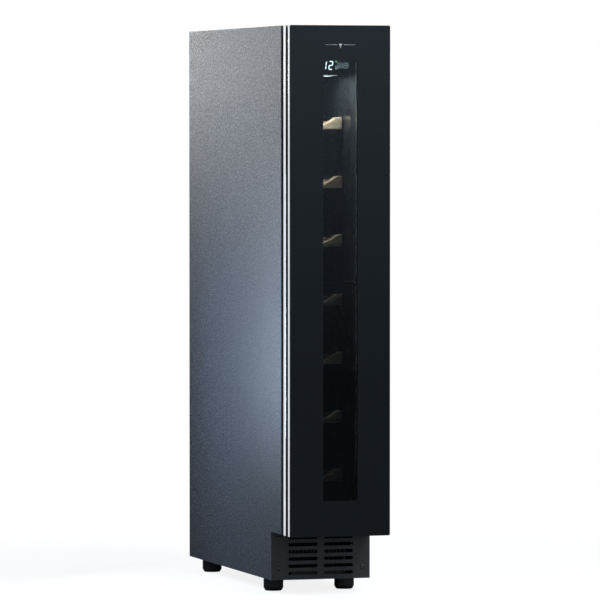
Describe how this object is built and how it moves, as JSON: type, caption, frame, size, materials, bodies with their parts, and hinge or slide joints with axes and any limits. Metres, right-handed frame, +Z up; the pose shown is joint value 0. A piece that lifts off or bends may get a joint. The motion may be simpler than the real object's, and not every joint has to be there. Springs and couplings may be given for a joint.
{
  "type": "wine cooler",
  "caption": "Slim upright wine cooler with a hinged dark glass door, sliding cradle shelves, a lit compartment and a recessed kick grille.",
  "frame": {"origin": "on the floor, under the middle of the cabinet's width and depth", "axes": "+X to the right of someone facing the door, +Y from the door to the back, +Z up"},
  "size_m": [0.148, 0.525, 0.811],
  "materials": {
    "cabinet_paint": "fine textured powder coat",
    "back_paint": "matte",
    "coil_black": "satin",
    "black_plastic": "satin",
    "liner_plastic": "gloss",
    "insulation_foam": "matte",
    "grille_plastic": "matte",
    "screw_steel": "satin",
    "display_plastic": "gloss",
    "circuit_board": "satin",
    "lamp_plastic": "matte",
    "coil_aluminium": "satin",
    "fan_plastic": "satin",
    "compressor_black": "gloss",
    "black_rubber": "matte",
    "copper": "satin",
    "hinge_steel": "satin",
    "dark_glass": "gloss",
    "spacer_aluminium": "satin",
    "clear_glass": "gloss",
    "trim_aluminium": "polished",
    "door_plastic": "satin",
    "gasket_rubber": "matte",
    "bush_plastic": "satin",
    "beech_front": "satin",
    "beech_deck": "matte",
    "foot_plastic": "matte"
  },
  "bodies": {
    "cabinet": {"left_side_panel": "cabinet_paint", "right_side_panel": "cabinet_paint", "top_panel": "cabinet_paint", "rear_panel": "back_paint", "compressor_cover": "back_paint", "base_pan": "back_paint", "machine_room_ceiling": "back_paint", "condenser_coil": "coil_black", "throat_collar": "black_plastic", "control_housing": "black_plastic", "display_ledge": "black_plastic", "starter_box": "black_plastic", "power_inlet": "black_plastic", "drip_tray": "black_plastic", "inner_liner": "liner_plastic", "evaporator_cover": "liner_plastic", "shelf_guides": "liner_plastic", "foam_insulation": "insulation_foam", "kick_grille": "grille_plastic", "case_screws": "screw_steel", "display_lens": "display_plastic", "control_board": "circuit_board", "lamp_diffuser": "lamp_plastic", "evaporator_coil": "coil_aluminium", "circulation_fan_frame": "fan_plastic", "condenser_fan_frame": "fan_plastic", "compressor": "compressor_black", "compressor_grommets": "black_rubber", "refrigerant_lines": "copper", "upper_hinge_bracket": "hinge_steel", "lower_hinge_bracket": "hinge_steel"},
    "door": {"outer_glass": "dark_glass", "glass_spacer": "spacer_aluminium", "inner_glass": "clear_glass", "front_trim": "trim_aluminium", "door_core": "door_plastic", "rear_trim": "trim_aluminium", "door_inner_frame": "door_plastic", "door_gasket": "gasket_rubber", "hinge_bushes": "bush_plastic"},
    "circulation_fan": {"circulation_fan_rotor": "fan_plastic"},
    "condenser_fan": {"condenser_fan_rotor": "fan_plastic"},
    "shelf_1": {"shelf_front_1": "beech_front", "shelf_deck_1": "beech_deck"},
    "shelf_2": {"shelf_front_2": "beech_front", "shelf_deck_2": "beech_deck"},
    "shelf_3": {"shelf_front_3": "beech_front", "shelf_deck_3": "beech_deck"},
    "shelf_4": {"shelf_front_4": "beech_front", "shelf_deck_4": "beech_deck"},
    "shelf_5": {"shelf_front_5": "beech_front", "shelf_deck_5": "beech_deck"},
    "shelf_6": {"shelf_front_6": "beech_front", "shelf_deck_6": "beech_deck"},
    "shelf_7": {"shelf_front_7": "beech_front", "shelf_deck_7": "beech_deck"},
    "foot_front_left": {"foot_front_left": "foot_plastic"},
    "foot_front_right": {"foot_front_right": "foot_plastic"},
    "foot_rear_left": {"foot_rear_left": "foot_plastic"},
    "foot_rear_right": {"foot_rear_right": "foot_plastic"}
  },
  "joints": [
    {"name": "door_hinge", "type": "hinge", "parent": "cabinet", "child": "door", "pos_m": [0.064, -0.24, 0.45], "axis": [0, 0, 1], "range_deg": [0, 100]},
    {"name": "shelf_1_slide", "type": "slide", "parent": "cabinet", "child": "shelf_1", "axis": [0, -1, 0], "range_m": [0, 0.07]},
    {"name": "shelf_2_slide", "type": "slide", "parent": "cabinet", "child": "shelf_2", "axis": [0, -1, 0], "range_m": [0, 0.07]},
    {"name": "shelf_3_slide", "type": "slide", "parent": "cabinet", "child": "shelf_3", "axis": [0, -1, 0], "range_m": [0, 0.07]},
    {"name": "shelf_4_slide", "type": "slide", "parent": "cabinet", "child": "shelf_4", "axis": [0, -1, 0], "range_m": [0, 0.07]},
    {"name": "shelf_5_slide", "type": "slide", "parent": "cabinet", "child": "shelf_5", "axis": [0, -1, 0], "range_m": [0, 0.07]},
    {"name": "shelf_6_slide", "type": "slide", "parent": "cabinet", "child": "shelf_6", "axis": [0, -1, 0], "range_m": [0, 0.07]},
    {"name": "shelf_7_slide", "type": "slide", "parent": "cabinet", "child": "shelf_7", "axis": [0, -1, 0], "range_m": [0, 0.07]},
    {"name": "foot_front_left_screw", "type": "slide", "parent": "cabinet", "child": "foot_front_left", "axis": [0, 0, -1], "range_m": [0, 0.015]},
    {"name": "foot_front_right_screw", "type": "slide", "parent": "cabinet", "child": "foot_front_right", "axis": [0, 0, -1], "range_m": [0, 0.015]},
    {"name": "foot_rear_left_screw", "type": "slide", "parent": "cabinet", "child": "foot_rear_left", "axis": [0, 0, -1], "range_m": [0, 0.015]},
    {"name": "foot_rear_right_screw", "type": "slide", "parent": "cabinet", "child": "foot_rear_right", "axis": [0, 0, -1], "range_m": [0, 0.015]},
    {"name": "circulation_fan_spin", "type": "hinge", "parent": "cabinet", "child": "circulation_fan", "pos_m": [0, 0.196, 0.705], "axis": [0, 1, 0], "continuous": true},
    {"name": "condenser_fan_spin", "type": "hinge", "parent": "cabinet", "child": "condenser_fan", "pos_m": [0, -0.08, 0.054], "axis": [0, 1, 0], "continuous": true}
  ]
}
